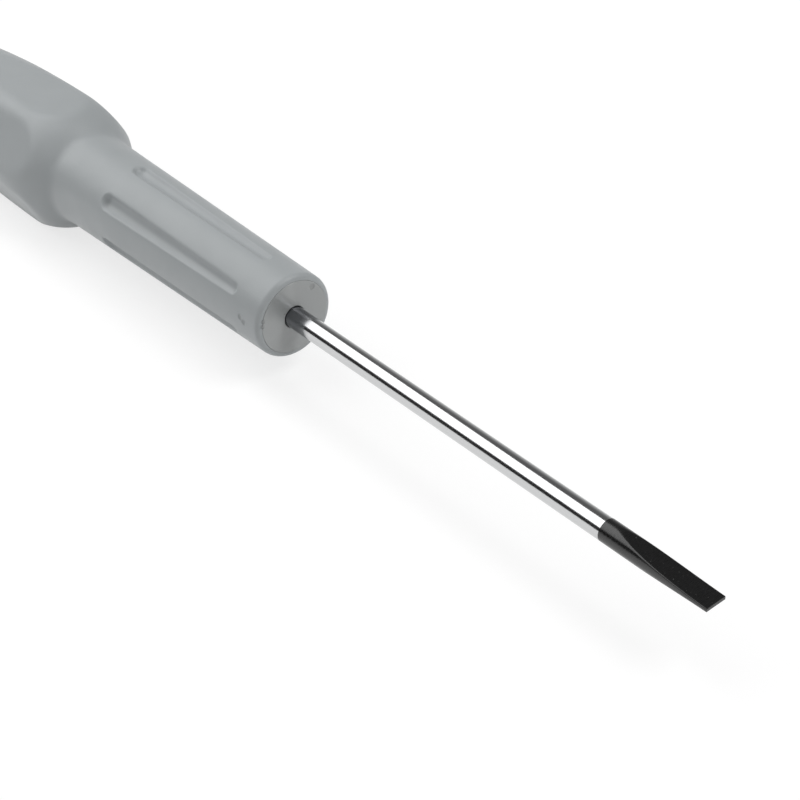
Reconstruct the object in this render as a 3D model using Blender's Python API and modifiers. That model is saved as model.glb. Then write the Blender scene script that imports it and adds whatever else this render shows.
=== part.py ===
"""A slotted precision screwdriver: fixed blade, two-part moulded handle and a cap that spins on a ball.

The origin is the middle of the blade's end face. The blade points along +X with its flats up and down,
and the handle lies along -X with one of its six flats below it.

Every piece is built in the tool's own frame, whose Z runs along the blade towards its tip.
"""

import math

import bmesh
import bpy
from mathutils import Matrix

MM = 0.001

# Blade
BLADE_DIAMETER = 3.0 * MM
BLADE_REACH = 75.0 * MM  # from the nose of the handle to the blade's end face
TIP_THICKNESS = 0.5 * MM
GRIND_LENGTH = 14.2 * MM  # each hollow-ground flat, along the blade
GRIND_RADIUS = 111.0 * MM  # the wheel that ground it
BLACK_LENGTH = 16.5 * MM  # blackened end, from the end face
TANG_LENGTH = 46.0 * MM  # held in the handle
TANG_CHAMFER = 0.4 * MM
WING_SPAN = 5.4 * MM  # pressed wings that keep the blade from turning
WING_THICKNESS = 1.3 * MM
WING_LENGTH = 9.0 * MM
WING_SETBACK = 5.0 * MM  # from the tang's end to the wings

# Handle, outer form
HANDLE_LENGTH = 88.0 * MM  # from the nose to the face under the cap
NOSE_DIAMETER = 12.1 * MM
NOSE_EDGE = 0.8 * MM
BARREL_LENGTH = 49.1 * MM  # from the nose to the foot of the flare
BARREL_RISE = 0.94 * MM  # growth in radius from nose to flare
FLARE_FILLET = 3.0 * MM
FLARE_RADIUS = 13.0 * MM
CREST_DIAMETER = 20.6 * MM
GRIP_DROP = 1.4 * MM  # loss in radius from the crest to the rear edge
REAR_EDGE = 1.4 * MM
FLAT_DEPTH = 1.0 * MM  # how far the flats lie below the crest
FLAT_BLEND = 0.4 * MM  # how softly a flat turns into the round

# Finger grooves, each cut by a tapering tool with ball ends that leans with the barrel
SIDES = 6  # grooves and flats share their places round the handle
GROOVE_START = 6.5 * MM  # from the nose to the middle of the front ball
GROOVE_SETBACK = 12.6 * MM  # from the foot of the flare to the middle of the rear ball
GROOVE_FRONT_RADIUS = 0.85 * MM
GROOVE_FRONT_DEPTH = 0.46 * MM
GROOVE_REAR_RADIUS = 1.35 * MM
GROOVE_REAR_DEPTH = 0.85 * MM

# Handle core
NOSE_STEP = 0.05 * MM  # how far the core stands out of the grip at the nose
NOSE_WALL = 0.7 * MM  # the grip's wall at the nose
CORE_CHAMFER = 0.15 * MM
GRIP_WALL = 2.0 * MM  # the grip's least wall behind the flare
KEY_HEIGHT = 0.5 * MM  # ridges that lock the grip to the core
KEY_INSET = 1.0 * MM  # from the crest to the ridges
KEY_SETBACK = 10.0 * MM  # from the handle's rear face to the ridges

# Bearing of the cap
SPINDLE_DIAMETER = 3.2 * MM
SPINDLE_NOSE = 2.0 * MM  # beyond the clip, towards the ball
SPINDLE_CHAMFER = 0.3 * MM
HEAD_DIAMETER = 6.4 * MM
HEAD_THICKNESS = 1.4 * MM
BUSH_WALL = 1.5 * MM
BUSH_LENGTH = 9.0 * MM
FLANGE_WIDTH = 0.8 * MM
FLANGE_THICKNESS = 1.0 * MM
CLIP_BITE = 0.5 * MM  # depth of the clip's groove in the spindle
CLIP_WIDTH = 1.7 * MM
CLIP_THICKNESS = 0.8 * MM
CLIP_ROOM = 0.5 * MM  # free space in front of the clip
BALL_DIAMETER = 3.0 * MM
SEAT_ANGLE = math.radians(118)  # drill point that the ball sits in

# Cap
CAP_STEP = 0.5 * MM  # how much smaller the cap is than the grip's rear edge
CAP_WEB = 3.2 * MM  # between the handle and the spindle's head
CAP_CHAMFER = 0.4 * MM
CAP_EDGE = 2.2 * MM
CAP_RIM = 0.8 * MM  # flat rim round the pad
CAP_WALL = 1.5 * MM
RELIEF_DEPTH = 2.0 * MM  # hollow round the hub, on the handle's side
HUB_WALL = 2.2 * MM
PAD_THICKNESS = 1.7 * MM
PAD_INSET = 0.3 * MM  # below the cap's rim
PAD_DISH = 0.5 * MM
PAD_EDGE = 0.3 * MM

# Clearances
PRESS_GAP = 0.1 * MM  # pressed round fits
SEAT_GAP = 0.2 * MM  # faces that seat, and the grip on its core
RUN_GAP = 0.2 * MM  # parts that turn in each other
CAP_GAP = 0.4 * MM  # between the handle and the cap
CUT_OVER = 1.0 * MM  # how far a cutter runs past what it cuts

# Facets
FLAT_STEPS = 3  # from the middle of a flat to its edge
ROUND_STEPS = 2  # from there to the middle of the round
FLAT_SHARE = 0.9  # most of a side that the flat's facets take
CAP_STEPS = 48
PIECE_STEPS = 36
CUTTER_STEPS = 27  # odd, so that no edge of a cutter lies along a seam of the grip
BALL_STEPS = 20
BALL_RINGS = 12
WHEEL_STEPS = 360
ARC_STEPS = 4
SHARP_ANGLE = math.radians(35)
MERGE_DISTANCE = 0.001 * MM

# Finishes: colour, roughness and share of metal
BRIGHT_CHROME = ((0.62, 0.63, 0.64), 0.08, 1)
BLACKENED = ((0.012, 0.012, 0.012), 0.42, 0.3)
BALL_STEEL = ((0.6, 0.6, 0.61), 0.1, 1)
SPINDLE_STEEL = ((0.55, 0.55, 0.56), 0.22, 1)
CLIP_STEEL = ((0.25, 0.25, 0.26), 0.35, 1)
BRASS = ((0.75, 0.55, 0.25), 0.25, 1)
SHELL_PLASTIC = ((0.36, 0.385, 0.39), 0.5, 0)  # the grip and the cap
CORE_PLASTIC = ((0.31, 0.33, 0.335), 0.45, 0)
PAD_PLASTIC = ((0.3, 0.32, 0.325), 0.55, 0)

# Radii round the tool's axis
BLADE_R = BLADE_DIAMETER / 2
NOSE_R = NOSE_DIAMETER / 2
WAIST_R = NOSE_R + BARREL_RISE
CREST_R = CREST_DIAMETER / 2
REAR_R = CREST_R - GRIP_DROP
FLAT_R = CREST_R - FLAT_DEPTH
CORE_FRONT_R = NOSE_R - NOSE_WALL - SEAT_GAP
CORE_REAR_R = FLAT_R - GRIP_WALL - SEAT_GAP - KEY_HEIGHT
SPINDLE_R = SPINDLE_DIAMETER / 2
GROOVED_R = SPINDLE_R - CLIP_BITE
HEAD_R = HEAD_DIAMETER / 2
BUSH_INNER_R = SPINDLE_R + RUN_GAP
BUSH_OUTER_R = BUSH_INNER_R + BUSH_WALL
FLANGE_R = BUSH_OUTER_R + FLANGE_WIDTH
BORE_R = BUSH_OUTER_R + PRESS_GAP
CLIP_INNER_R = GROOVED_R + PRESS_GAP
CLIP_OUTER_R = CLIP_INNER_R + CLIP_WIDTH
BALL_R = BALL_DIAMETER / 2
POCKET_R = max(BALL_R, SPINDLE_R) + RUN_GAP
CAP_R = REAR_R - CAP_STEP
RECESS_R = CAP_R - CAP_EDGE - CAP_RIM
PAD_R = RECESS_R - PRESS_GAP

# Places along the tool, counted from the blade's end face
NOSE = -BLADE_REACH
GRIP_FRONT = NOSE - NOSE_STEP
FLARE_FOOT = NOSE - BARREL_LENGTH
TANG_END = NOSE - TANG_LENGTH
REAR = NOSE - HANDLE_LENGTH

# The flare is an arc whose centre lies beyond the axis; a fillet leads the barrel into it.
FLARE_CENTRE_R = CREST_R - FLARE_RADIUS
FILLET_CENTRE_R = WAIST_R + FLARE_FILLET
FILLET_RISE = FILLET_CENTRE_R - FLARE_CENTRE_R
CREST = FLARE_FOOT - math.sqrt((FLARE_RADIUS + FLARE_FILLET) ** 2 - FILLET_RISE**2)
FLARE_ANGLE = math.atan2(FLARE_FOOT - CREST, FILLET_RISE)

# The bearing, from the handle's rear face inwards
BUSH_FRONT = REAR + BUSH_LENGTH
CLIP_REAR = BUSH_FRONT + RUN_GAP
CLIP_FRONT = CLIP_REAR + CLIP_THICKNESS
BORE_FRONT = CLIP_FRONT + CLIP_ROOM
SPINDLE_FRONT = CLIP_FRONT + SPINDLE_NOSE
BALL_CENTRE = SPINDLE_FRONT + SEAT_GAP + BALL_R
SEAT_POINT = BALL_CENTRE + (BALL_R + SEAT_GAP) / math.sin(SEAT_ANGLE / 2)
SEAT_EDGE = SEAT_POINT - POCKET_R / math.tan(SEAT_ANGLE / 2)

# The cap, from the handle's rear face outwards
CAP_FRONT = REAR - CAP_GAP
HEAD_SEAT = CAP_FRONT - CAP_WEB
HEAD_FRONT = HEAD_SEAT - SEAT_GAP
HEAD_REAR = HEAD_FRONT - HEAD_THICKNESS
PAD_FRONT = HEAD_REAR - SEAT_GAP
PAD_REAR = PAD_FRONT - PAD_THICKNESS
CAP_REAR = PAD_REAR - PAD_INSET


def new_collection(name):
    collection = bpy.data.collections.new(name)
    bpy.context.scene.collection.children.link(collection)
    return collection


def new_empty(name, height, parent=None):
    empty = bpy.data.objects.new(name, None)
    parts.objects.link(empty)
    empty.empty_display_size = CREST_R
    empty.location.z = height
    empty.parent = parent
    return empty


def add(name, mesh, carrier=None, collection=None):
    """An object in the tool's frame, carried by an empty on the tool's axis."""
    thing = bpy.data.objects.new(name, mesh)
    (collection or parts).objects.link(thing)
    thing.parent = carrier or tool_axis
    thing.matrix_parent_inverse = Matrix.Translation(-thing.parent.location)
    if collection:
        thing.hide_render = True
        thing.display_type = "WIRE"
    return thing


def arc(centre_r, centre_z, radius, start, end, steps=ARC_STEPS):
    """Profile points on an arc between two angles, counted from the radius towards the blade's tip."""
    turns = [start + (end - start) * i / steps for i in range(steps + 1)]
    return [(centre_r + radius * math.cos(t), centre_z + radius * math.sin(t)) for t in turns]


def turned(name, profile, steps=PIECE_STEPS, ring=False, carrier=None, collection=None):
    """A profile of (radius, height) points, from the tip end down its outer side, spun round the axis."""
    edges = [(i, i + 1) for i in range(len(profile) - 1)]
    if ring:
        edges.append((len(profile) - 1, 0))
    mesh = bpy.data.meshes.new(name)
    mesh.from_pydata([(r, 0, z) for r, z in profile], edges, [])
    thing = add(name, mesh, carrier, collection)
    screw = thing.modifiers.new("turn", "SCREW")
    screw.axis = "Z"
    screw.steps = steps
    screw.render_steps = steps
    screw.use_merge_vertices = True
    screw.merge_threshold = MERGE_DISTANCE
    return thing


def lofted(name, rings):
    """A closed skin over rings of points, from the tip end to the rear."""
    mesh = bpy.data.meshes.new(name)
    shape = bmesh.new()
    loops = [[shape.verts.new(point) for point in ring] for ring in rings]
    for front, rear in zip(loops, loops[1:]):
        for i in range(len(front)):
            shape.faces.new((front[i - 1], rear[i - 1], rear[i], front[i]))
    shape.faces.new(loops[0])
    shape.faces.new(reversed(loops[-1]))
    bmesh.ops.recalc_face_normals(shape, faces=shape.faces)
    shape.to_mesh(mesh)
    shape.free()
    return add(name, mesh)


def box(name, size, centre, collection):
    mesh = bpy.data.meshes.new(name)
    shape = bmesh.new()
    bmesh.ops.create_cube(shape, size=1, matrix=Matrix.Translation(centre) @ Matrix.Diagonal((*size, 1)))
    shape.to_mesh(mesh)
    shape.free()
    return add(name, mesh, collection=collection)


def prism(name, sides, radius, length, place, collection):
    """A regular prism along its own Z, centred on a place matrix."""
    mesh = bpy.data.meshes.new(name)
    shape = bmesh.new()
    bmesh.ops.create_cone(
        shape,
        cap_ends=True,
        segments=sides,
        radius1=radius,
        radius2=radius,
        depth=length,
        matrix=place,
    )
    shape.to_mesh(mesh)
    shape.free()
    return add(name, mesh, collection=collection)


def combine(part, other, operation="DIFFERENCE"):
    modifier = part.modifiers.new(other.name, "BOOLEAN")
    modifier.operation = operation
    modifier.solver = "EXACT"
    if isinstance(other, bpy.types.Collection):
        modifier.operand_type = "COLLECTION"
        modifier.collection = other
    else:
        modifier.object = other


def settle(part):
    """Makes the modifiers' result the part's mesh and shades its round faces smooth."""
    graph = bpy.context.evaluated_depsgraph_get()
    mesh = bpy.data.meshes.new_from_object(part.evaluated_get(graph))
    part.modifiers.clear()
    part.data = mesh
    mesh.shade_smooth()
    mesh.set_sharp_from_angle(angle=SHARP_ANGLE)


def finish(part, name, colour, roughness, metallic):
    material = bpy.data.materials.new(name)
    material.use_nodes = True
    shader = material.node_tree.nodes["Principled BSDF"]
    shader.inputs["Base Color"].default_value = (*colour, 1)
    shader.inputs["Roughness"].default_value = roughness
    shader.inputs["Metallic"].default_value = metallic
    part.data.materials.append(material)


def grind_wheel(side):
    """The wheel that hollows one flat, through the tip's edge and the start of the flat."""
    tip = TIP_THICKNESS / 2
    rise = BLADE_R - tip
    chord = math.hypot(rise, GRIND_LENGTH)
    reach = math.sqrt(GRIND_RADIUS**2 - (chord / 2) ** 2) / chord
    centre_x = (tip + BLADE_R) / 2 + reach * GRIND_LENGTH
    centre_z = -GRIND_LENGTH / 2 + reach * rise
    place = Matrix.Translation((side * centre_x, 0, centre_z)) @ Matrix.Rotation(math.radians(90), 4, "X")
    width = BLADE_DIAMETER + 2 * CUT_OVER
    return prism(f"grind_wheel_{side}", WHEEL_STEPS, GRIND_RADIUS, width, place, cutters)


def wings(name, gap):
    size = (WING_THICKNESS + 2 * gap, WING_SPAN + 2 * gap, WING_LENGTH + 2 * gap)
    return box(name, size, (0, 0, TANG_END + WING_SETBACK + WING_LENGTH / 2), cutters)


def build_blade():
    profile = [
        (0, 0),
        (BLADE_R, 0),
        (BLADE_R, -BLACK_LENGTH),
        (BLADE_R, TANG_END + TANG_CHAMFER),
        (BLADE_R - TANG_CHAMFER, TANG_END),
        (0, TANG_END),
    ]
    blade = turned("blade", profile)
    combine(blade, wings("blade_wings", 0), "UNION")
    for side in (-1, 1):
        combine(blade, grind_wheel(side))
    settle(blade)
    finish(blade, "bright_chrome", *BRIGHT_CHROME)
    finish(blade, "black_tip", *BLACKENED)
    for face in blade.data.polygons:
        face.material_index = int(face.center.z > -BLACK_LENGTH)


def core_form(name, gap, front, rear, collection=None):
    """The core's outer form, or with a gap the cavity that the grip has round it."""
    front_r = CORE_FRONT_R + gap
    rear_r = CORE_REAR_R + gap
    step = CORE_REAR_R - CORE_FRONT_R
    cone_rear = CREST + math.copysign(gap, step)
    profile = [
        (0, front),
        (front_r - (CORE_CHAMFER if gap == 0 else 0), front),
        (front_r, front - CORE_CHAMFER),
        (front_r, cone_rear + abs(step)),
        (rear_r, cone_rear),
        (rear_r, rear),
        (0, rear),
    ]
    core = turned(name, profile, collection=collection)
    key_front = CREST - KEY_INSET + gap
    key_rear = REAR + KEY_SETBACK - gap
    middle = Matrix.Translation((0, 0, (key_front + key_rear) / 2))
    ridges = prism(f"{name}_keys", SIDES, rear_r + KEY_HEIGHT, key_front - key_rear, middle, cutters)
    combine(core, ridges, "UNION")
    return core


def build_core():
    core = core_form("handle_core", 0, NOSE, REAR)
    socket = [
        (0, NOSE + CUT_OVER),
        (BLADE_R + PRESS_GAP, NOSE + CUT_OVER),
        (BLADE_R + PRESS_GAP, TANG_END - SEAT_GAP),
        (0, TANG_END - SEAT_GAP),
    ]
    bore = [
        (0, SEAT_POINT),
        (POCKET_R, SEAT_EDGE),
        (POCKET_R, BORE_FRONT),
        (BORE_R, BORE_FRONT),
        (BORE_R, REAR + FLANGE_THICKNESS + SEAT_GAP),
        (FLANGE_R + PRESS_GAP, REAR + FLANGE_THICKNESS + SEAT_GAP),
        (FLANGE_R + PRESS_GAP, REAR - CUT_OVER),
        (0, REAR - CUT_OVER),
    ]
    combine(core, turned("blade_socket", socket, collection=cutters))
    combine(core, wings("wing_slot", PRESS_GAP))
    combine(core, turned("bearing_bore", bore, collection=cutters))
    settle(core)
    finish(core, "core_plastic", *CORE_PLASTIC)


def grip_outline():
    """Radius and height down the handle's outer side, from the nose to its rear face."""
    quarter = math.radians(90)
    edge_front = REAR + REAR_EDGE
    run = CREST - edge_front
    back_radius = (run**2 + GRIP_DROP**2) / (2 * GRIP_DROP)
    back_angle = math.asin(run / back_radius)
    return [
        *arc(NOSE_R - NOSE_EDGE, GRIP_FRONT - NOSE_EDGE, NOSE_EDGE, quarter, 0),
        *arc(FILLET_CENTRE_R, FLARE_FOOT, FLARE_FILLET, -2 * quarter, FLARE_ANGLE - 2 * quarter),
        *arc(FLARE_CENTRE_R, CREST, FLARE_RADIUS, FLARE_ANGLE, 0, 2 * ARC_STEPS)[1:],
        *arc(CREST_R - back_radius, CREST, back_radius, 0, -back_angle, 2 * ARC_STEPS)[1:],
        *arc(REAR_R - REAR_EDGE, edge_front, REAR_EDGE, 0, -quarter)[1:],
    ]


def grip_section(radius, height):
    """A ring of the grip: round where it is slim, with softened flats where it swells past them."""
    half = math.pi / SIDES
    steps = FLAT_STEPS + ROUND_STEPS
    edge = min(math.acos(min(FLAT_R / radius, 1)), FLAT_SHARE * half)
    swell = min(max((radius - FLAT_R) / (2 * FLAT_BLEND) + 0.5, 0), 1)
    spots = []
    for i in range(steps + 1):
        past = i - FLAT_STEPS
        spot = edge * i / FLAT_STEPS if past < 0 else edge + (half - edge) * past / ROUND_STEPS
        spots.append(swell * spot + (1 - swell) * half * i / steps)
    ring = []
    for side in range(SIDES):
        for i in range(-steps, steps):
            turn = math.copysign(spots[abs(i)], i)
            flat = FLAT_R / math.cos(turn)
            near = max(FLAT_BLEND - abs(radius - flat), 0)
            reach = min(radius, flat) - near**2 / (4 * FLAT_BLEND)
            turn += 2 * half * side
            ring.append((reach * math.cos(turn), reach * math.sin(turn), height))
    return ring


def barrel_r(height):
    """The barrel's radius between its nose edge and the flare."""
    start = GRIP_FRONT - NOSE_EDGE
    return NOSE_R + BARREL_RISE * (start - height) / (start - FLARE_FOOT)


def groove_cutters():
    """One cutter for each finger groove, built up from its rear ball and leant towards the front one."""
    group = bpy.data.collections.new("groove_cutters")
    cutters.children.link(group)
    front = NOSE - GROOVE_START
    rear = FLARE_FOOT + GROOVE_SETBACK
    front_r = barrel_r(front) + GROOVE_FRONT_RADIUS - GROOVE_FRONT_DEPTH
    rear_r = barrel_r(rear) + GROOVE_REAR_RADIUS - GROOVE_REAR_DEPTH
    length = math.hypot(front - rear, rear_r - front_r)
    lean = math.atan2(rear_r - front_r, front - rear)
    quarter = math.radians(90)
    profile = [
        *arc(0, length, GROOVE_FRONT_RADIUS, quarter, 0),
        *arc(0, 0, GROOVE_REAR_RADIUS, 0, -quarter),
    ]
    for number in range(SIDES):
        turn = math.radians(360) * number / SIDES
        cutter = turned(f"groove_{number}", profile, CUTTER_STEPS, collection=group)
        cutter.location = (rear_r * math.cos(turn), rear_r * math.sin(turn), rear)
        cutter.rotation_euler = (0, -lean, turn)
    return group


def build_grip():
    grip = lofted("handle_grip", [grip_section(*point) for point in grip_outline()])
    combine(grip, groove_cutters())
    combine(grip, core_form("grip_cavity", SEAT_GAP, NOSE + CUT_OVER, REAR - CUT_OVER, cutters))
    settle(grip)
    finish(grip, "grip_plastic", *SHELL_PLASTIC)


def build_bush():
    profile = [
        (BUSH_INNER_R, BUSH_FRONT),
        (BUSH_OUTER_R, BUSH_FRONT),
        (BUSH_OUTER_R, REAR + FLANGE_THICKNESS),
        (FLANGE_R, REAR + FLANGE_THICKNESS),
        (FLANGE_R, REAR),
        (BUSH_INNER_R, REAR),
    ]
    bush = turned("spindle_bush", profile, ring=True)
    settle(bush)
    finish(bush, "bearing_brass", *BRASS)


def build_ball():
    mesh = bpy.data.meshes.new("thrust_ball")
    shape = bmesh.new()
    bmesh.ops.create_uvsphere(
        shape,
        u_segments=BALL_STEPS,
        v_segments=BALL_RINGS,
        radius=BALL_R,
        matrix=Matrix.Translation((0, 0, BALL_CENTRE)),
    )
    shape.to_mesh(mesh)
    shape.free()
    mesh.shade_smooth()
    ball = add("thrust_ball", mesh)
    finish(ball, "ball_steel", *BALL_STEEL)


def build_spindle():
    profile = [
        (0, SPINDLE_FRONT),
        (SPINDLE_R - SPINDLE_CHAMFER, SPINDLE_FRONT),
        (SPINDLE_R, SPINDLE_FRONT - SPINDLE_CHAMFER),
        (SPINDLE_R, CLIP_FRONT + PRESS_GAP),
        (GROOVED_R, CLIP_FRONT + PRESS_GAP),
        (GROOVED_R, CLIP_REAR - PRESS_GAP),
        (SPINDLE_R, CLIP_REAR - PRESS_GAP),
        (SPINDLE_R, HEAD_FRONT),
        (HEAD_R, HEAD_FRONT),
        (HEAD_R, HEAD_REAR),
        (0, HEAD_REAR),
    ]
    spindle = turned("cap_spindle", profile, carrier=cap_axis)
    settle(spindle)
    finish(spindle, "spindle_steel", *SPINDLE_STEEL)


def build_clip():
    """A spring clip, open on one side, in the spindle's groove in front of the bush."""
    profile = [
        (CLIP_INNER_R, CLIP_FRONT),
        (CLIP_OUTER_R, CLIP_FRONT),
        (CLIP_OUTER_R, CLIP_REAR),
        (CLIP_INNER_R, CLIP_REAR),
    ]
    clip = turned("spindle_clip", profile, ring=True, carrier=cap_axis)
    reach = CLIP_OUTER_R + CUT_OVER
    size = (reach, 2 * GROOVED_R, CLIP_THICKNESS + 2 * CUT_OVER)
    combine(clip, box("clip_mouth", size, (reach / 2, 0, (CLIP_FRONT + CLIP_REAR) / 2), cutters))
    settle(clip)
    finish(clip, "clip_steel", *CLIP_STEEL)


def build_cap():
    profile = [
        (CAP_R - CAP_CHAMFER, CAP_FRONT),
        (CAP_R, CAP_FRONT - CAP_CHAMFER),
        *arc(CAP_R - CAP_EDGE, CAP_REAR + CAP_EDGE, CAP_EDGE, 0, math.radians(-90)),
        (RECESS_R, CAP_REAR),
        (RECESS_R, PAD_FRONT + SEAT_GAP),
        (HEAD_R + PRESS_GAP, PAD_FRONT + SEAT_GAP),
        (HEAD_R + PRESS_GAP, HEAD_SEAT),
        (SPINDLE_R + PRESS_GAP, HEAD_SEAT),
        (SPINDLE_R + PRESS_GAP, CAP_FRONT),
        (SPINDLE_R + HUB_WALL, CAP_FRONT),
        (SPINDLE_R + HUB_WALL, CAP_FRONT - RELIEF_DEPTH),
        (CAP_R - CAP_WALL, CAP_FRONT - RELIEF_DEPTH),
        (CAP_R - CAP_WALL, CAP_FRONT),
    ]
    cap = turned("swivel_cap", profile, CAP_STEPS, ring=True, carrier=cap_axis)
    settle(cap)
    finish(cap, "cap_plastic", *SHELL_PLASTIC)


def build_pad():
    """The dished disc that closes the cap over the spindle's head."""
    dish_r = PAD_R - PAD_EDGE
    dish_radius = (dish_r**2 + PAD_DISH**2) / (2 * PAD_DISH)
    dish_angle = math.asin(dish_r / dish_radius)
    down = math.radians(90)
    dish_centre = PAD_REAR + PAD_DISH - dish_radius
    profile = [
        (0, PAD_FRONT),
        (PAD_R, PAD_FRONT),
        (PAD_R, PAD_REAR + PAD_EDGE),
        *arc(0, dish_centre, dish_radius, down - dish_angle, down),
    ]
    pad = turned("cap_pad", profile, carrier=cap_axis)
    settle(pad)
    finish(pad, "pad_plastic", *PAD_PLASTIC)


for thing in list(bpy.data.objects):
    bpy.data.objects.remove(thing)
parts = new_collection("precision_screwdriver")
cutters = new_collection("cutters")
tool_axis = new_empty("tool_axis", 0)
tool_axis.rotation_euler.y = math.radians(90)
cap_axis = new_empty("cap_axis", CAP_FRONT, tool_axis)

build_blade()
build_core()
build_grip()
build_bush()
build_ball()
build_spindle()
build_clip()
build_cap()
build_pad()
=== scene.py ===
"""The looks of the precision screwdriver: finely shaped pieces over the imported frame, their finishes and a
plain white studio.

The tool lies along X with its blade's end at the origin. Profiles are lists of (place along X, radius).
"""

import math

import bmesh
import bpy
from mathutils import Matrix, Vector


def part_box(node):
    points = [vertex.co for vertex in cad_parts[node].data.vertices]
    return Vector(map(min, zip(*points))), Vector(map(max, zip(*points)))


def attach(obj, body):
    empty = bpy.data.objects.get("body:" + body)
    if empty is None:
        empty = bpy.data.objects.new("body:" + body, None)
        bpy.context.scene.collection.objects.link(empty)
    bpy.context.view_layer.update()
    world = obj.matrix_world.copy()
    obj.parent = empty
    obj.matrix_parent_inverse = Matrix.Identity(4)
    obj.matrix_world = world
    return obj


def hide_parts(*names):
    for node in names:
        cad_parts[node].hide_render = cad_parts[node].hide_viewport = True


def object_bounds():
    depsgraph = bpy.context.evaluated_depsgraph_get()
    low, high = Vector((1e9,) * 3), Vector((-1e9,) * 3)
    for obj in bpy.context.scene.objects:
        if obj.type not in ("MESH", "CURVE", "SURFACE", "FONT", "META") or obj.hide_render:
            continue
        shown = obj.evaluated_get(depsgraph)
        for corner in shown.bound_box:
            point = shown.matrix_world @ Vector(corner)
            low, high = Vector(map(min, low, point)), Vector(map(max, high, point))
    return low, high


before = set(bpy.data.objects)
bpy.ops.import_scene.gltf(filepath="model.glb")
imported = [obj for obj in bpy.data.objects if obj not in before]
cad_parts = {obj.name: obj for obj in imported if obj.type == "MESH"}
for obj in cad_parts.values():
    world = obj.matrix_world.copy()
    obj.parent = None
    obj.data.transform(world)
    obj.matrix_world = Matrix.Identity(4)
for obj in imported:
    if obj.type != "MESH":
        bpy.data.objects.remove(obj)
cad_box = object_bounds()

MM = 0.001
TURN = 2 * math.pi
HALF_TURN = math.pi
QUARTER = math.pi / 2

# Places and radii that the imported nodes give
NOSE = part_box("handle_core")[1].x
GRIP_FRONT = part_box("handle_grip")[1].x
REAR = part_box("handle_grip")[0].x
CREST_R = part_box("handle_grip")[1].y
FLAT_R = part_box("handle_grip")[1].z
BLADE_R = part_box("blade")[1].z
TANG_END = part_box("blade")[0].x
BALL_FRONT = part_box("thrust_ball")[1].x
BALL_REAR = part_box("thrust_ball")[0].x
BUSH_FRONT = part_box("spindle_bush")[1].x
FLANGE_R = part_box("spindle_bush")[1].y
HEAD_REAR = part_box("cap_spindle")[0].x
HEAD_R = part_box("cap_spindle")[1].y
CAP_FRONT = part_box("swivel_cap")[1].x
CAP_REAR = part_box("swivel_cap")[0].x
CAP_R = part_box("swivel_cap")[1].y
PAD_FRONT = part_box("cap_pad")[1].x
PAD_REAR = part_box("cap_pad")[0].x
PAD_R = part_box("cap_pad")[1].y

# Blade
TIP_HALF = 0.25 * MM  # half the end face's thickness
TIP_EDGE = 0.04 * MM  # broken edge round the end face
GRIND_LENGTH = 14.2 * MM  # each hollow-ground flat, along the blade
GRIND_RADIUS = 111.0 * MM  # the wheel that ground it
FLAT_EDGE = 0.12 * MM  # how softly a flat turns into the round
FLAT_MARGIN = 0.01 * MM  # what lies this near a flat is ground, not round
BLACK_LENGTH = 16.5 * MM  # blackened end
TANG_CHAMFER = 0.4 * MM
BLADE_ROLL = math.radians(5.4)  # how far round from the handle's flats the blade was pressed in
SLIDE_LENGTH = 4.8 * MM  # behind the flats, where the rod's columns spread out again
LEAST_EDGE = math.radians(3)  # half of the sector that a flat's columns keep where it runs out
CROWDING = 0.4  # how closely the columns crowd at the edges of the flats

# Grip
NOSE_R = 6.05 * MM
NOSE_EDGE = 0.8 * MM
BARREL_LENGTH = 49.1 * MM  # from the nose to the foot of the flare
BARREL_RISE = 0.94 * MM  # growth in radius from nose to flare
FLARE_FILLET = 3.0 * MM
FLARE_RADIUS = 13.0 * MM
GRIP_DROP = 1.4 * MM  # loss in radius from the crest to the rear edge
REAR_EDGE = 1.4 * MM
FLAT_BLEND = 0.4 * MM  # how softly a flat turns into the round
SIDES = 6
SIDE = TURN / SIDES

# Finger grooves, each from a tapering cutter with ball ends
GROOVE_START = 6.5 * MM  # from the nose to the middle of the front ball
GROOVE_SETBACK = 12.6 * MM  # from the foot of the flare to the middle of the rear ball
GROOVE_FRONT_R = 0.85 * MM
GROOVE_FRONT_DEPTH = 0.46 * MM
GROOVE_REAR_R = 1.35 * MM
GROOVE_REAR_DEPTH = 0.85 * MM
GROOVE_RIM = 0.28 * MM  # how softly the barrel turns down into the groove
GROOVE_TURN = math.radians(3.5)  # how far round from the flats the grooves sit
GROOVE_HALF = math.radians(17)  # half of the finely divided sector over each groove

# Core
CORE_GAP = 0.02 * MM  # between the core and the grip
CORE_EDGE = 0.08 * MM  # rounded edge of the face
FACE_BORDER = 0.5 * MM  # ring inside that edge, which keeps the shading of the face flat
CORE_REAR_R = 6.6 * MM
SOCKET_R = 1.55 * MM
SOCKET_FLARE = 0.1 * MM  # broken edge where the blade enters
BORE_R = 3.4 * MM  # round the bush
BORE_ROOM = 1.5 * MM  # in front of the bush, for the clip
FLANGE_SEAT = 1.2 * MM  # depth of the seat for the bush's flange
BALL_ROOM = 0.3 * MM  # round the ball
DRILL_POINT = 0.6 * MM  # in front of the ball

# Cap and pad
CAP_EDGE = 2.2 * MM  # rounded edge at the rear
CAP_FRONT_EDGE = 0.4 * MM  # rounded edge on the handle's side
CAP_RIM = 0.8 * MM  # flat rim round the pad
CAP_LIP = 0.15 * MM  # broken inner edge of that rim
CAP_WALL = 1.5 * MM
RELIEF_DEPTH = 2.0 * MM  # hollow round the hub, on the handle's side
HUB_R = 3.8 * MM
SPINDLE_R = 1.6 * MM
HEAD_THICKNESS = 1.4 * MM
PAD_DISH = 0.5 * MM
PAD_EDGE = 0.3 * MM

# Fits
PRESS_GAP = 0.1 * MM  # pressed round fits
SEAT_GAP = 0.2 * MM  # faces that seat

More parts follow.
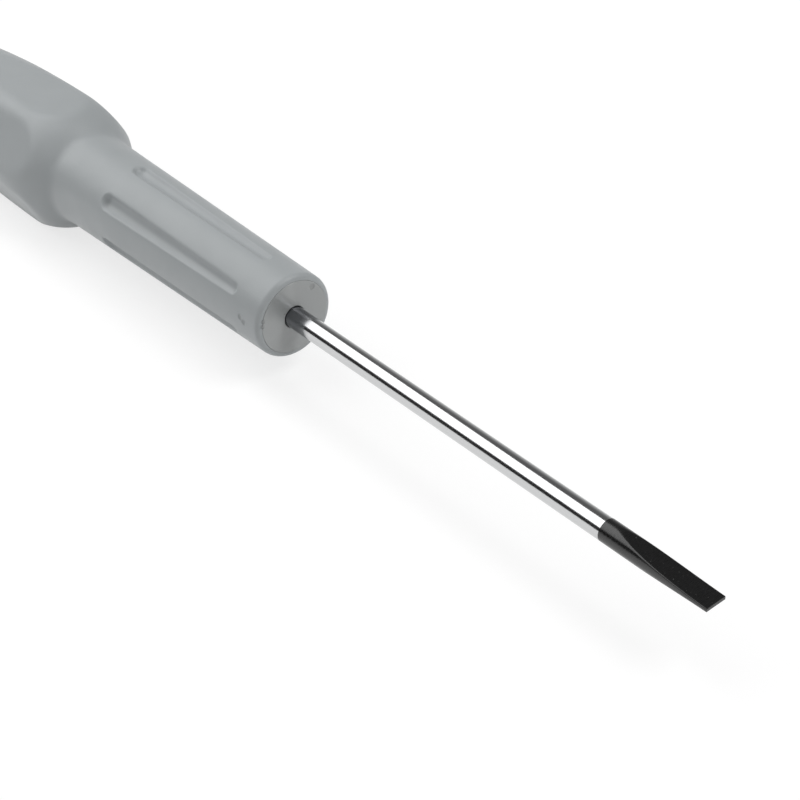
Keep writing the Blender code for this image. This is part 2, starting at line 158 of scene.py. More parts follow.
# Fineness
ROD_COLUMNS = 96
GRIND_RINGS = 44
SLIDE_RINGS = 24
RING_STEP = 0.5 * MM  # along the barrel
FINE_STEP = 0.1 * MM  # round the groove's ball ends
GROOVE_COLUMNS = 44
PLAIN_COLUMNS = 10  # between two grooves
CORE_COLUMNS = 120
CAP_COLUMNS = 144
PAD_COLUMNS = 120
FILLET_STEPS = 6
EDGE_STEPS = 8
FLARE_STEPS = 24
BACK_STEPS = 40
CAP_EDGE_STEPS = 12
DISH_STEPS = 12
SEARCH_STEPS = 24  # halvings in the search for a softened skin
MERGE_DISTANCE = 0.0002 * MM
SHARP_ANGLE = math.radians(30)
BLADE_SHARP_ANGLE = math.radians(20)

# Plastics: colour, darker cloud and mean roughness
GRIP_PLASTIC = ((0.385, 0.408, 0.417), (0.355, 0.378, 0.387), 0.42)  # the grip and the cap
CORE_PLASTIC = ((0.31, 0.324, 0.324), (0.285, 0.298, 0.298), 0.32)
PAD_PLASTIC = ((0.3, 0.32, 0.325), (0.27, 0.29, 0.295), 0.5)
CORE_IOR = 2.0
CORE_TURN_MARKS = 0.95  # how far its fine rings draw the gloss out

# Metals
CHROME = (0.6, 0.605, 0.61)
ROOT_PAINTED_SHADE = (0.28, 0.285, 0.3)  # painted shade on the plating next to the nose, where it mirrors the dark face
ROOT_LENGTH = 5.0 * MM
ROOT_FADE = 2.5 * MM  # over which the painted shade fades out
OXIDE = (0.006, 0.006, 0.0062)  # on the round of the blade's end
OXIDE_SPECK = (0.06, 0.06, 0.058)
OXIDE_IOR = 1.65
GROUND_OXIDE = (0.005, 0.005, 0.0052)  # on its flats
GROUND_SPECK = (0.22, 0.22, 0.215)
TURNED_STEEL = ((0.55, 0.55, 0.56), 0.25)  # colour and mean roughness
SPRING_STEEL = ((0.25, 0.25, 0.26), 0.35)
TURNED_BRASS = ((0.75, 0.55, 0.25), 0.28)

# Patterns in the finishes
MIDDLE = (0.3, 0.7)  # range in which most of a noise's values lie
CLOUD_RANGE = (0.35, 0.75)  # values over which the darker cloud sets in
CLOUD_SHARE = 0.6  # of the darker cloud where it is thickest
OXIDE_SPECK_RANGE = (0.68, 0.78)  # values over which the specks set in
GROUND_SPECK_RANGE = (0.69, 0.75)
PLASTIC_GLOSS = (-0.05, 0.06)  # how far the roughness strays from its mean
TURNED_GLOSS = (-0.06, 0.1)
CHROME_ROUGHNESS = (0.11, 0.18)
OXIDE_ROUGHNESS = (0.2, 0.32)
GROUND_ROUGHNESS = (0.24, 0.36)

# Nicks that the tool has picked up, with painted shade in their floors, and dark marks with painted shadow
# on the parting line; turns are counted from the top, towards +Y
NICK_SIZE = 1.0 * MM
NICK_DEPTH = 0.1 * MM
# painted shade in the floor of each dent
NICK_SHADE_TONE = (0.12, 0.125, 0.125)
NICK_SHADE_SHARE = 0.35  # of that painted shade in the middle of a dent
BARREL_NICKS = ((3.8 * MM, math.radians(-85)), (3.0 * MM, math.radians(-89)))  # behind the nose, and turn
FACE_NICK_TURN = math.radians(40)
FACE_NICK_R = 4.55 * MM
RIM_SHADOW_NICK_TURNS = (math.radians(-77), math.radians(-85))  # dents on the parting line, darkened as painted shadow of its gap
RIM_SHADOW_NICK_SIZE = 0.7 * MM

# Studio
CAMERA_PLACE = Vector((99.8, -125.14, 132.95)) * MM
CAMERA_AZIMUTH = math.radians(50.71)  # from -Y, towards +X
CAMERA_ELEVATION = math.radians(34.27)
CAMERA_LENS = 86.28
SENSOR_WIDTH = 36.0
NEAREST_SEEN = 10 * MM
STRIP_PLACE = Vector((-0.627, -0.14, 0.529))
STRIP_AIM = Vector((-0.47, 0.199, 0))
STRIP_SIZE = (0.86, 0.78)
STRIP_POWER = 4.0
TOP_PLACE = Vector((0.3, 0.26, 0.62))
TOP_AIM = Vector((-0.05, 0, 0))
TOP_SIZE = (0.4, 0.32)
TOP_POWER = 2.5
FLOOR_HALF = 3.0  # half of its side
FLOOR_CLEARANCE = 0.02 * MM
FLOOR_PAPER = 0.85  # white of the paper that lights the tool from below
FLOOR_GLOW = 0.74  # what the eye sees of the floor, besides the light and shadow on it
FLOOR_SHADE = 0.3  # how strongly the seen floor takes them
FILL = 0.27  # strength of the room's even light
WALL_TONES = ((0.03, 1.0), (0.2, 0.42), (0.45, 0.2), (0.65, 0.13))  # rise from the horizon, and tone
CARD_LENGTH = 700 * MM
CARD_MIDDLE = -175 * MM  # along X
CARDS = {"near_card": (-90 * MM, 50 * MM, 0.03), "far_card": (120 * MM, 32 * MM, 0.5)}  # Y, height, tone

# Places that follow
HEAD_FRONT = HEAD_REAR + HEAD_THICKNESS
BALL_R = (BALL_FRONT - BALL_REAR) / 2
FLARE_FOOT = NOSE - BARREL_LENGTH
WAIST_R = NOSE_R + BARREL_RISE
REAR_R = CREST_R - GRIP_DROP
FLARE_CENTRE_R = CREST_R - FLARE_RADIUS
FILLET_RISE = WAIST_R + FLARE_FILLET - FLARE_CENTRE_R
CREST = FLARE_FOOT - math.sqrt((FLARE_RADIUS + FLARE_FILLET) ** 2 - FILLET_RISE**2)
FLARE_ANGLE = math.atan2(FLARE_FOOT - CREST, FILLET_RISE)
GROOVE_FRONT = NOSE - GROOVE_START
GROOVE_REAR = FLARE_FOOT + GROOVE_SETBACK
HOLE_R = NOSE_R - NOSE_EDGE
HOLE_REAR_R = CORE_REAR_R + CORE_GAP
CORE_R = HOLE_R - CORE_GAP


def barrel_r(x):
    """Radius of the barrel, which grows from the nose to the flare."""
    start = GRIP_FRONT - NOSE_EDGE
    return NOSE_R + BARREL_RISE * (start - x) / (start - FLARE_FOOT)


def around(turn, radius):
    """Y and Z of a place round the axis, counted from the top towards +Y."""
    return radius * math.sin(turn), radius * math.cos(turn)


def arc(centre_x, centre_r, radius, start, end, steps):
    """Profile points on an arc; angles are counted from outwards towards the blade's end."""
    turns = [start + (end - start) * i / steps for i in range(steps + 1)]
    return [(centre_x + radius * math.sin(t), centre_r + radius * math.cos(t)) for t in turns]


def run(start, end, step):
    """Profile points on a straight line, one step apart, without the last."""
    count = max(round(math.hypot(end[0] - start[0], end[1] - start[1]) / step), 1)
    shares = [i / count for i in range(count)]
    return [tuple(a + (b - a) * s for a, b in zip(start, end)) for s in shares]


def soft_step(share):
    """Rises smoothly from 0 to 1."""
    share = min(max(share, 0), 1)
    return share * share * (3 - 2 * share)


def soft_max(a, b, blend):
    """The larger value, rounded over where the two are nearly the same."""
    return max(a, b) + max(blend - abs(a - b), 0) ** 2 / (4 * blend)


def skin(outside, low, high):
    """The place between two bounds where a test turns from inside to outside."""
    for _ in range(SEARCH_STEPS):
        middle = (low + high) / 2
        if outside(middle) > 0:
            high = middle
        else:
            low = middle
    return low


def spun(profile, sectors, ring=False):
    """A bmesh of the profile spun round X, through one sector after another; a ring's profile is closed."""
    shape = bmesh.new()
    points = [shape.verts.new((x, 0, r)) for x, r in profile]
    pairs = list(zip(points, points[1:]))
    if ring:
        pairs.append((points[-1], points[0]))
    geom = [shape.edges.new(pair) for pair in pairs]
    for angle, steps in sectors:
        turned = bmesh.ops.spin(
            shape,
            geom=geom,
            cent=(0, 0, 0),
            axis=(1, 0, 0),
            angle=angle,
            steps=steps,
            use_merge=angle == TURN,
        )
        geom = turned["geom_last"]
    bmesh.ops.remove_doubles(shape, verts=shape.verts, dist=MERGE_DISTANCE)
    bmesh.ops.recalc_face_normals(shape, faces=shape.faces)
    return shape


def roll(shape, angle):
    """Turns a bmesh round X."""
    bmesh.ops.rotate(shape, verts=shape.verts, cent=(0, 0, 0), matrix=Matrix.Rotation(angle, 3, "X"))


def placed(shape, name, materials):
    """The bmesh as an object in the scene."""
    mesh = bpy.data.meshes.new(name)
    shape.to_mesh(mesh)
    shape.free()
    for material in materials:
        mesh.materials.append(material)
    piece = bpy.data.objects.new(name, mesh)
    bpy.context.scene.collection.objects.link(piece)
    return piece


def finished(shape, name, body, node, materials, sharp=SHARP_ANGLE):
    """The bmesh as a smooth-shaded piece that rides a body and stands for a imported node."""
    piece = placed(shape, name, materials)
    piece.data.shade_smooth()
    piece.data.set_sharp_from_angle(angle=sharp)
    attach(piece, body)
    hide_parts(node)


def new_node(tree, kind, **values):
    """A new shader node, with some of its sockets set."""
    node = tree.nodes.new(kind)
    for socket, value in values.items():
        node.inputs[socket].default_value = value
    return node


class Finish:
    """A material with short ways to add the patterns that its surface needs."""

    def __init__(self, name, colour, metallic=0.0):
        self.material = bpy.data.materials.new(name)
        self.material.use_nodes = True
        self.tree = self.material.node_tree
        self.shader = self.tree.nodes["Principled BSDF"]
        self.set("Base Color", (*colour, 1))
        self.set("Metallic", metallic)
        self.place = self.tree.nodes.new("ShaderNodeTexCoord").outputs["Object"]
        self.normal = None

    def set(self, socket, value):
        self.shader.inputs[socket].default_value = value

    def link(self, output, socket):
        self.tree.links.new(output, socket)

    def noise(self, size, detail=2.0, stretch=(1, 1, 1), rough=0.5):
        """Cloudy values from 0 to 1, whose patches are about a size across."""
        mapping = new_node(self.tree, "ShaderNodeMapping", Scale=stretch)
        self.link(self.place, mapping.inputs["Vector"])
        texture = new_node(self.tree, "ShaderNodeTexNoise", Scale=1 / size, Detail=detail, Roughness=rough)
        self.link(mapping.outputs["Vector"], texture.inputs["Vector"])
        return texture.outputs["Fac"]

    def along(self):
        """Place along X."""
        parts = self.tree.nodes.new("ShaderNodeSeparateXYZ")
        self.link(self.place, parts.inputs[0])
        return parts.outputs["X"]

    def levels(self, value, source, target):
        """A value moved from one range to another, and held inside it."""
        node = self.tree.nodes.new("ShaderNodeMapRange")
        for socket, bound in zip(("From Min", "From Max", "To Min", "To Max"), (*source, *target)):
            node.inputs[socket].default_value = bound
        self.link(value, node.inputs["Value"])
        return node.outputs["Result"]

    def roughen(self, pattern, bounds, mean=0.0):
        """Roughness that follows a pattern, between bounds that are counted from a mean."""
        target = [mean + bound for bound in bounds]
        self.link(self.levels(pattern, MIDDLE, target), self.shader.inputs["Roughness"])

    def tint(self, colour, factor):
        """Lays a second colour over the base colour, by a factor."""
        node = self.tree.nodes.new("ShaderNodeMix")
        node.data_type = "RGBA"
        base = self.shader.inputs["Base Color"]
        if base.is_linked:
            self.link(base.links[0].from_socket, node.inputs["A"])
        else:
            node.inputs["A"].default_value = base.default_value
        node.inputs["B"].default_value = (*colour, 1)
        self.link(factor, node.inputs["Factor"])
        self.link(node.outputs["Result"], base)

    def bump(self, height, depth):
        """Raises the surface by a height pattern of some depth."""
        node = new_node(self.tree, "ShaderNodeBump", Strength=1.0, Distance=depth)
        self.link(height, node.inputs["Height"])
        if self.normal:
            self.link(self.normal, node.inputs["Normal"])
        self.normal = node.outputs["Normal"]
        self.link(self.normal, self.shader.inputs["Normal"])

    def shaded_nick(self, place, size):
        """A small dent centred on a place, whose floor is darkened with painted shade."""
        node = self.tree.nodes.new("ShaderNodeVectorMath")
        node.operation = "DISTANCE"
        node.inputs[1].default_value = place
        self.link(self.place, node.inputs[0])
        slope = (size / 4, size / 2)
        # painted shade in the dent's floor
        self.tint(NICK_SHADE_TONE, self.levels(node.outputs["Value"], slope, (NICK_SHADE_SHARE, 0)))
        self.bump(self.levels(node.outputs["Value"], slope, (0, 1)), NICK_DEPTH)

    def turn_marks(self, amount):
        """Hair-fine rings round X, which draw the gloss on a face out into a fan."""
        rings = self.tree.nodes.new("ShaderNodeTangent")
        rings.direction_type = "RADIAL"
        rings.axis = "X"
        self.link(rings.outputs["Tangent"], self.shader.inputs["Tangent"])
        self.set("Anisotropic", amount)
        self.set("Anisotropic Rotation", QUARTER / TURN)


def moulded_plastic(name, colour, shade, roughness):
    """Satin moulded plastic: cloudy pigment, fine tool grain and uneven gloss."""
    finish = Finish(name, colour)
    cloud = finish.noise(size=9 * MM, detail=3)
    gloss = finish.noise(size=3 * MM, detail=3)
    grain = finish.noise(size=0.22 * MM)
    waves = finish.noise(size=4 * MM)
    finish.tint(shade, finish.levels(cloud, CLOUD_RANGE, (0, CLOUD_SHARE)))
    finish.roughen(gloss, PLASTIC_GLOSS, roughness)
    finish.bump(grain, depth=0.012 * MM)
    finish.bump(waves, depth=0.03 * MM)
    return finish


def bright_chrome():
    """Polished plating, with hair-fine marks round the rod, faint waves and painted shade at the nose."""
    finish = Finish("bright_chrome", CHROME, metallic=1)
    marks = finish.noise(size=0.9 * MM, detail=3, stretch=(30, 1, 1))
    waves = finish.noise(size=7 * MM)
    # painted shade: the plating is darkened next to the nose and fades out behind it
    root_shade_end = NOSE + ROOT_LENGTH
    root_shade = finish.levels(finish.along(), (root_shade_end, root_shade_end - ROOT_FADE), (0, 1))
    finish.tint(ROOT_PAINTED_SHADE, root_shade)
    finish.roughen(marks, CHROME_ROUGHNESS)
    finish.bump(waves, depth=0.01 * MM)
    return finish.material


def blackened_steel():
    """Black oxide over the polished rod: glossy, with a little grit."""
    finish = Finish("blackened_steel", OXIDE)
    finish.set("IOR", OXIDE_IOR)
    grit = finish.noise(size=0.16 * MM, detail=3, rough=0.6)
    finish.tint(OXIDE_SPECK, finish.levels(grit, OXIDE_SPECK_RANGE, (0, 1)))
    finish.roughen(grit, OXIDE_ROUGHNESS)
    finish.bump(grit, depth=0.006 * MM)
    return finish.material


def ground_steel():
    """Black oxide over the ground flats: dull, with scratches across the blade and bare specks."""
    finish = Finish("ground_steel", GROUND_OXIDE)
    grit = finish.noise(size=0.2 * MM, detail=3, rough=0.6)
    scratches = finish.noise(size=0.5 * MM, stretch=(8, 1, 1))
    finish.tint(GROUND_SPECK, finish.levels(grit, GROUND_SPECK_RANGE, (0, 1)))
    finish.roughen(scratches, GROUND_ROUGHNESS)
    finish.bump(scratches, depth=0.004 * MM)
    return finish.material


def turned_metal(name, colour, roughness):
    """Metal from the lathe, with fine rings round X."""
    finish = Finish(name, colour, metallic=1)
    rings = finish.noise(size=0.3 * MM, stretch=(4, 0.02, 0.02))
    finish.roughen(rings, TURNED_GLOSS, roughness)
    finish.bump(rings, depth=0.004 * MM)
    return finish.material


def grind_half(x):
    """Half the blade's thickness where the grinding wheel has hollowed it."""
    rise = BLADE_R - TIP_HALF
    chord = math.hypot(rise, GRIND_LENGTH)
    reach = math.sqrt(GRIND_RADIUS**2 - (chord / 2) ** 2) / chord
    centre_x = -GRIND_LENGTH / 2 + reach * rise
    centre_z = (TIP_HALF + BLADE_R) / 2 + reach * GRIND_LENGTH
    return centre_z - math.sqrt(GRIND_RADIUS**2 - (x - centre_x) ** 2)


def rod_profile():
    """The round rod, with rings where the flats and the blackened end need them."""
    ground = [-GRIND_LENGTH * (1 - (i / GRIND_RINGS) ** 2) for i in range(GRIND_RINGS, -1, -1)]
    slide = [-GRIND_LENGTH - SLIDE_LENGTH * i / SLIDE_RINGS for i in range(1, SLIDE_RINGS + 1)]
    places = sorted({*ground, *slide, -TIP_EDGE, -BLACK_LENGTH}, reverse=True)
    return [
        (0, 0),
        *((x, BLADE_R) for x in places),
        (TANG_END + TANG_CHAMFER, BLADE_R),
        (TANG_END, BLADE_R - TANG_CHAMFER),
        (TANG_END, 0),
    ]


def tip_turn(x, column):
    """Angle of a column from the middle of its flat: 0 to 1 lie on the flat, 1 to 2 on the round."""
    edge = max(math.acos(min(grind_half(x) / BLADE_R, 1)), LEAST_EDGE)
    off = abs(column)
    if off <= 1:
        spread = off + CROWDING * (off - off**3)
        turn = math.atan(math.tan(edge) * spread)
    else:
        spread = (off - 1) * (1 - CROWDING * (2 - off))
        turn = edge + (QUARTER - edge) * spread
    even = soft_step((-GRIND_LENGTH - x) / SLIDE_LENGTH)
    return math.copysign(turn + (off * QUARTER / 2 - turn) * even, column)


def press_tip(shape):
    """Slides the rod's columns to the edges of the flats and presses what lies between them flat."""
    for vert in shape.verts:
        x, y, z = vert.co
        if x < -GRIND_LENGTH - SLIDE_LENGTH or math.hypot(y, z) < BLADE_R / 2:
            continue
        side = math.copysign(1, z)
        column = math.atan2(y, abs(z)) / (QUARTER / 2)
        turn = tip_turn(x, column)
        half = grind_half(x)
        reach = skin(lambda r: soft_max(r - BLADE_R, r * math.cos(turn) - half, FLAT_EDGE), 0, BLADE_R)
        y = reach * math.sin(turn)
        z = side * reach * math.cos(turn)
        if x > -TIP_EDGE / 2:
            y -= math.copysign(TIP_EDGE, y) if abs(column) >= 1 else 0
            z -= math.copysign(TIP_EDGE, z) if abs(column) <= 1 else 0
        vert.co = (x, y, z)


def blade_zone(place):
    """Which of the blade's finishes a place has: 0 plated, 1 blackened, 2 blackened and ground."""
    if place.x < -BLACK_LENGTH:
        return 0
    ground = place.x > -GRIND_LENGTH and abs(place.z) > grind_half(place.x) - FLAT_MARGIN
    return 2 if ground else 1


def blade():
    """The plated rod with its blackened, hollow-ground end."""
    shape = spun(rod_profile(), [(TURN, ROD_COLUMNS)])
    press_tip(shape)
    bmesh.ops.recalc_face_normals(shape, faces=shape.faces)
    for face in shape.faces:
        face.material_index = blade_zone(face.calc_center_median())
    roll(shape, BLADE_ROLL)
    finishes = [bright_chrome(), blackened_steel(), ground_steel()]
    finished(shape, "chrome_blade", "handle", "blade", finishes, BLADE_SHARP_ANGLE)


def grip_profile():
    """The barrel, its flare, the grip's long back and the hole for the core."""
    nose_corner = GRIP_FRONT - NOSE_EDGE
    rear_corner = REAR + REAR_EDGE
    back = CREST - rear_corner
    back_radius = (back**2 + GRIP_DROP**2) / (2 * GRIP_DROP)
    back_angle = math.asin(back / back_radius)
    front_ball = [GROOVE_FRONT + GROOVE_FRONT_R + GROOVE_RIM, GROOVE_FRONT]
    rear_ball = [GROOVE_REAR, GROOVE_REAR - GROOVE_REAR_R - GROOVE_RIM]
    stops = [(x, barrel_r(x)) for x in front_ball + rear_ball]
    return [
        *arc(nose_corner, HOLE_R, NOSE_EDGE, QUARTER, 0, EDGE_STEPS)[:-1],
        *run((nose_corner, NOSE_R), stops[0], RING_STEP),
        *run(stops[0], stops[1], FINE_STEP),
        *run(stops[1], stops[2], RING_STEP),
        *run(stops[2], stops[3], FINE_STEP),
        *run(stops[3], (FLARE_FOOT, WAIST_R), RING_STEP),
        *arc(
            FLARE_FOOT,
            WAIST_R + FLARE_FILLET,
            FLARE_FILLET,
            HALF_TURN,
            HALF_TURN + FLARE_ANGLE,
            FILLET_STEPS,
        ),
        *arc(CREST, FLARE_CENTRE_R, FLARE_RADIUS, FLARE_ANGLE, 0, FLARE_STEPS)[1:],
        *arc(CREST, CREST_R - back_radius, back_radius, 0, -back_angle, BACK_STEPS)[1:],
        *arc(rear_corner, REAR_R - REAR_EDGE, REAR_EDGE, 0, -QUARTER, EDGE_STEPS)[1:],
        (REAR, HOLE_REAR_R),
        (CREST, HOLE_REAR_R),
        (CREST + HOLE_REAR_R - HOLE_R, HOLE_R),
    ]


def groove_height(surface, lateral, x):
    """Height of the skin over a groove's own radius, found between the barrel and the cutter."""
    share = min(max((GROOVE_FRONT - x) / (GROOVE_FRONT - GROOVE_REAR), 0), 1)
    middle_x = GROOVE_FRONT + (GROOVE_REAR - GROOVE_FRONT) * share
    radius = GROOVE_FRONT_R + (GROOVE_REAR_R - GROOVE_FRONT_R) * share
    front_axis = barrel_r(GROOVE_FRONT) - GROOVE_FRONT_DEPTH + GROOVE_FRONT_R
    rear_axis = barrel_r(GROOVE_REAR) - GROOVE_REAR_DEPTH + GROOVE_REAR_R
    axis = front_axis + (rear_axis - front_axis) * share
    far = lateral**2 + (x - middle_x) ** 2

    def outside(height):
        cutter = radius - math.sqrt(far + (height - axis) ** 2)
        return soft_max(height - surface, cutter, GROOVE_RIM)

    return skin(outside, surface - radius, surface)


def press_grip(shape):
    """Presses the six grooves into the barrel and the six flats into the grip."""
    for vert in shape.verts:
        x, y, z = vert.co
        radius = math.hypot(y, z)
        first = GROOVE_TURN if x > FLARE_FOOT else 0
        turn = math.atan2(y, z) - first
        number = round(turn / SIDE)
        off = turn - number * SIDE
        if x > FLARE_FOOT:
            lateral = radius * math.sin(off)
            if radius < NOSE_R or abs(lateral) > GROOVE_REAR_R + GROOVE_RIM:
                continue
            height = groove_height(radius * math.cos(off), lateral, x)
        else:
            flat = FLAT_R / math.cos(off)
            reach = -soft_max(-radius, -flat, FLAT_BLEND)
            lateral = reach * math.sin(off)
            height = reach * math.cos(off)
        vert.co = Matrix.Rotation(-number * SIDE - first, 3, "X") @ Vector((x, lateral, height))


def rim_shadow_nicks(plastic):
    """The dents on the parting line that the grip and the core share, darkened as painted shadow of the gap
    between them.
    """
    for turn in RIM_SHADOW_NICK_TURNS:
        # painted shadow of the parting line's gap
        plastic.shaded_nick((NOSE, *around(turn, CORE_R)), RIM_SHADOW_NICK_SIZE)


def grip():
    """The outer moulding, with its grooves and flats."""
    side = [(2 * GROOVE_HALF, GROOVE_COLUMNS), (SIDE - 2 * GROOVE_HALF, PLAIN_COLUMNS)]
    shape = spun(grip_profile(), side * SIDES, ring=True)
    roll(shape, -GROOVE_HALF - GROOVE_TURN)
    press_grip(shape)
    bmesh.ops.recalc_face_normals(shape, faces=shape.faces)
    plastic = moulded_plastic("grip_plastic", *GRIP_PLASTIC)
    for behind, turn in BARREL_NICKS:
        x = NOSE - behind
        plastic.shaded_nick((x, *around(turn, barrel_r(x))), NICK_SIZE)
    rim_shadow_nicks(plastic)
    finished(shape, "grooved_grip", "handle", "handle_grip", [plastic.material])


def core():
    """The hard core: the turned-looking face at the nose, the blade's socket and the bearing's bore."""
    socket_end = TANG_END - SEAT_GAP
    flange_front = REAR + FLANGE_SEAT
    bore_front = BUSH_FRONT + BORE_ROOM
    profile = [
        (socket_end, 0),
        (socket_end, SOCKET_R),
        (NOSE - SOCKET_FLARE, SOCKET_R),
        (NOSE, SOCKET_R + SOCKET_FLARE),
        (NOSE, CORE_R - CORE_EDGE - FACE_BORDER),
        *arc(NOSE - CORE_EDGE, CORE_R - CORE_EDGE, CORE_EDGE, QUARTER, 0, FILLET_STEPS),
        (CREST + CORE_REAR_R - CORE_R, CORE_R),
        (CREST, CORE_REAR_R),
        (REAR, CORE_REAR_R),
        (REAR, FLANGE_R + PRESS_GAP),
        (flange_front, FLANGE_R + PRESS_GAP),
        (flange_front, BORE_R),
        (bore_front, BORE_R),
        (bore_front, BALL_R + BALL_ROOM),
        (BALL_FRONT - BALL_R / 2, BALL_R + BALL_ROOM),
        (BALL_FRONT + DRILL_POINT, 0),
    ]
    shape = spun(profile, [(TURN, CORE_COLUMNS)])
    plastic = moulded_plastic("core_plastic", *CORE_PLASTIC)
    plastic.turn_marks(CORE_TURN_MARKS)
    plastic.set("IOR", CORE_IOR)
    plastic.shaded_nick((NOSE, *around(FACE_NICK_TURN, FACE_NICK_R)), NICK_SIZE)
    rim_shadow_nicks(plastic)
    finished(shape, "nose_core", "handle", "handle_core", [plastic.material])


def cap():
    """The cap that spins on the handle's end, with its hub and the pad's recess."""
    recess_r = CAP_R - CAP_EDGE - CAP_RIM
    recess_front = PAD_FRONT + SEAT_GAP
    head_front = HEAD_FRONT + SEAT_GAP
    head_hole_r = HEAD_R + PRESS_GAP
    spindle_hole_r = SPINDLE_R + PRESS_GAP
    relief = CAP_FRONT - RELIEF_DEPTH
    profile = [
        *arc(CAP_FRONT - CAP_FRONT_EDGE, CAP_R - CAP_FRONT_EDGE, CAP_FRONT_EDGE, QUARTER, 0, FILLET_STEPS),
        *arc(CAP_REAR + CAP_EDGE, CAP_R - CAP_EDGE, CAP_EDGE, 0, -QUARTER, CAP_EDGE_STEPS),
        (CAP_REAR, recess_r + CAP_LIP),
        (CAP_REAR + CAP_LIP, recess_r),
        (recess_front, recess_r),
        (recess_front, head_hole_r),
        (head_front, head_hole_r),
        (head_front, spindle_hole_r),
        (CAP_FRONT, spindle_hole_r),
        (CAP_FRONT, HUB_R),
        (relief, HUB_R),
        (relief, CAP_R - CAP_WALL),
        (CAP_FRONT, CAP_R - CAP_WALL),
    ]
    shape = spun(profile, [(TURN, CAP_COLUMNS)], ring=True)
    plastic = moulded_plastic("cap_plastic", *GRIP_PLASTIC)
    finished(shape, "spinning_cap", "cap", "swivel_cap", [plastic.material])


def pad():
    """The dished disc that closes the cap."""
    dish_r = PAD_R - PAD_EDGE
    dish_radius = (dish_r**2 + PAD_DISH**2) / (2 * PAD_DISH)
    dish_start = QUARTER - math.asin(dish_r / dish_radius)
    dish_bottom = PAD_REAR + PAD_DISH
    profile = [
        (PAD_FRONT, 0),
        (PAD_FRONT, PAD_R),
        (PAD_REAR + PAD_EDGE, PAD_R),
        *arc(dish_bottom - dish_radius, 0, dish_radius, dish_start, QUARTER, DISH_STEPS)[:-1],
        (dish_bottom, 0),
    ]
    shape = spun(profile, [(TURN, PAD_COLUMNS)])
    plastic = moulded_plastic("pad_plastic", *PAD_PLASTIC)
    finished(shape, "dished_pad", "cap", "cap_pad", [plastic.material])


def bearing():
    """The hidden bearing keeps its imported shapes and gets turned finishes."""
    steel = turned_metal("turned_steel", *TURNED_STEEL)
    spring = turned_metal("spring_steel", *SPRING_STEEL)
    brass = turned_metal("turned_brass", *TURNED_BRASS)
    for node, material in (
        ("cap_spindle", steel),
        ("thrust_ball", steel),
        ("spindle_clip", spring),
        ("spindle_bush", brass),
    ):
        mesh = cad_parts[node].data
        mesh.materials.clear()
        mesh.materials.append(material)


def grey(tone):
    """An opaque grey."""
    return (tone, tone, tone, 1)


def emptied_tree(owner):
    """The node tree of a material or a world, with nothing in it."""
    owner.use_nodes = True
    owner.node_tree.nodes.clear()
    return owner.node_tree


def seen_by_eye(tree):
    """1 for rays that show the background itself: from the camera, or by way of gloss or glass."""
    path = tree.nodes.new("ShaderNodeLightPath")
    total = path.outputs["Is Camera Ray"]
    for ray in ("Is Glossy Ray", "Is Transmission Ray"):
        node = tree.nodes.new("ShaderNodeMath")
        node.operation = "MAXIMUM"
        tree.links.new(total, node.inputs[0])
        tree.links.new(path.outputs[ray], node.inputs[1])
        total = node.outputs[0]
    return total


def lit_or_seen(tree, lighting, seen):
    """One shader for the rays that light the tool, another for what the eye sees."""
    mix = tree.nodes.new("ShaderNodeMixShader")
    tree.links.new(seen_by_eye(tree), mix.inputs["Fac"])
    tree.links.new(lighting.outputs[0], mix.inputs[1])
    tree.links.new(seen.outputs[0], mix.inputs[2])
    return mix


def show(tree, output, shader):
    """Puts a shader out at a tree's surface."""
    tree.links.new(shader.outputs[0], tree.nodes.new(output).inputs["Surface"])


def floor():
    """White paper under the tool, which the eye sees as white with the tool's faint shadow."""
    material = bpy.data.materials.new("white_sweep")
    tree = emptied_tree(material)
    paper = new_node(tree, "ShaderNodeBsdfDiffuse", Color=grey(FLOOR_PAPER))
    shade = new_node(tree, "ShaderNodeBsdfDiffuse", Color=grey(FLOOR_SHADE))
    glow = new_node(tree, "ShaderNodeEmission", Strength=FLOOR_GLOW)
    white = tree.nodes.new("ShaderNodeAddShader")
    tree.links.new(shade.outputs[0], white.inputs[0])
    tree.links.new(glow.outputs[0], white.inputs[1])
    show(tree, "ShaderNodeOutputMaterial", lit_or_seen(tree, paper, white))
    shape = bmesh.new()
    bmesh.ops.create_grid(shape, x_segments=1, y_segments=1, size=FLOOR_HALF)
    bmesh.ops.translate(shape, verts=shape.verts, vec=(0, 0, cad_box[0].z - FLOOR_CLEARANCE))
    placed(shape, "studio_floor", [material])


def card(name, y, height, tone):
    """A long upright card beside the tool that only gloss shows: it gives the chrome its dark lines."""
    material = bpy.data.materials.new(name)
    tree = emptied_tree(material)
    show(tree, "ShaderNodeOutputMaterial", new_node(tree, "ShaderNodeEmission", Strength=tone))
    shape = bmesh.new()
    bmesh.ops.create_grid(shape, x_segments=1, y_segments=1, size=0.5)  # one unit square
    bmesh.ops.scale(shape, verts=shape.verts, vec=(CARD_LENGTH, height, 1))
    roll(shape, QUARTER)
    bmesh.ops.translate(shape, verts=shape.verts, vec=(CARD_MIDDLE, y, cad_box[0].z + height / 2))
    sheet = placed(shape, name, [material])
    sheet.visible_camera = False
    sheet.visible_diffuse = False
    sheet.visible_shadow = False


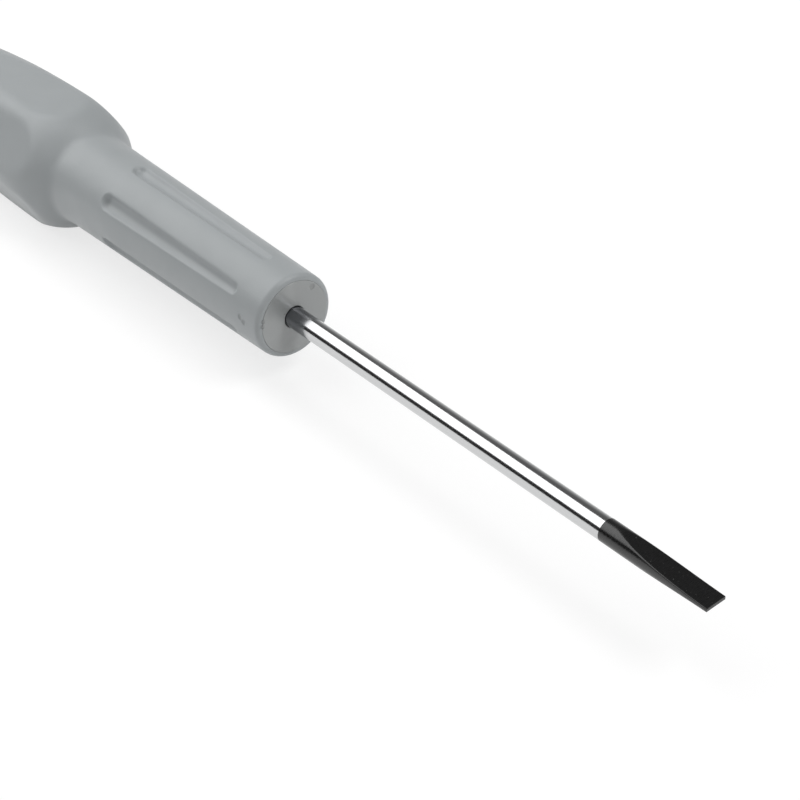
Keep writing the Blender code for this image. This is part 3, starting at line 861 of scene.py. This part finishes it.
def room():
    """The room above the floor: soft fill for the surfaces, and a pale-to-dark wall for what mirrors it."""
    world = bpy.data.worlds.new("studio_room")
    bpy.context.scene.world = world
    tree = emptied_tree(world)
    fill = new_node(tree, "ShaderNodeBackground", Color=grey(1), Strength=FILL)
    place = tree.nodes.new("ShaderNodeTexCoord")
    parts = tree.nodes.new("ShaderNodeSeparateXYZ")
    tree.links.new(place.outputs["Generated"], parts.inputs[0])
    ramp = tree.nodes.new("ShaderNodeValToRGB")
    tree.links.new(parts.outputs["Z"], ramp.inputs["Fac"])
    stops = ramp.color_ramp.elements
    for stop, (height, tone) in zip(stops, (WALL_TONES[0], WALL_TONES[-1])):
        stop.position = height
        stop.color = grey(tone)
    for height, tone in WALL_TONES[1:-1]:
        stops.new(height).color = grey(tone)
    wall = new_node(tree, "ShaderNodeBackground", Strength=1.0)
    tree.links.new(ramp.outputs["Color"], wall.inputs["Color"])
    show(tree, "ShaderNodeOutputWorld", lit_or_seen(tree, fill, wall))


def aimed(name, data, place, direction):
    """A lamp or camera at a place, looking in a direction."""
    thing = bpy.data.objects.new(name, data)
    bpy.context.scene.collection.objects.link(thing)
    thing.location = place
    thing.rotation_mode = "QUATERNION"
    thing.rotation_quaternion = direction.to_track_quat("-Z", "Y")
    return thing


def softbox(name, place, aim, size, power):
    """A rectangular lamp that gloss shows and the camera doesn't."""
    data = bpy.data.lights.new(name, "AREA")
    data.shape = "RECTANGLE"
    data.size, data.size_y = size
    data.energy = power
    aimed(name, data, place, aim - place).visible_camera = False


def camera():
    """The camera at the photograph's view."""
    data = bpy.data.cameras.new("photo_camera")
    data.lens = CAMERA_LENS
    data.sensor_width = SENSOR_WIDTH
    data.clip_start = NEAREST_SEEN
    level = math.cos(CAMERA_ELEVATION)
    direction = Vector((
        -math.sin(CAMERA_AZIMUTH) * level,
        math.cos(CAMERA_AZIMUTH) * level,
        -math.sin(CAMERA_ELEVATION),
    ))
    bpy.context.scene.camera = aimed("photo_camera", data, CAMERA_PLACE, direction)


bpy.context.scene.view_settings.view_transform = "Standard"
blade()
grip()
core()
cap()
pad()
bearing()
floor()
room()
for name, (y, height, tone) in CARDS.items():
    card(name, y, height, tone)
softbox("strip_softbox", STRIP_PLACE, STRIP_AIM, STRIP_SIZE, STRIP_POWER)
softbox("top_softbox", TOP_PLACE, TOP_AIM, TOP_SIZE, TOP_POWER)
camera()
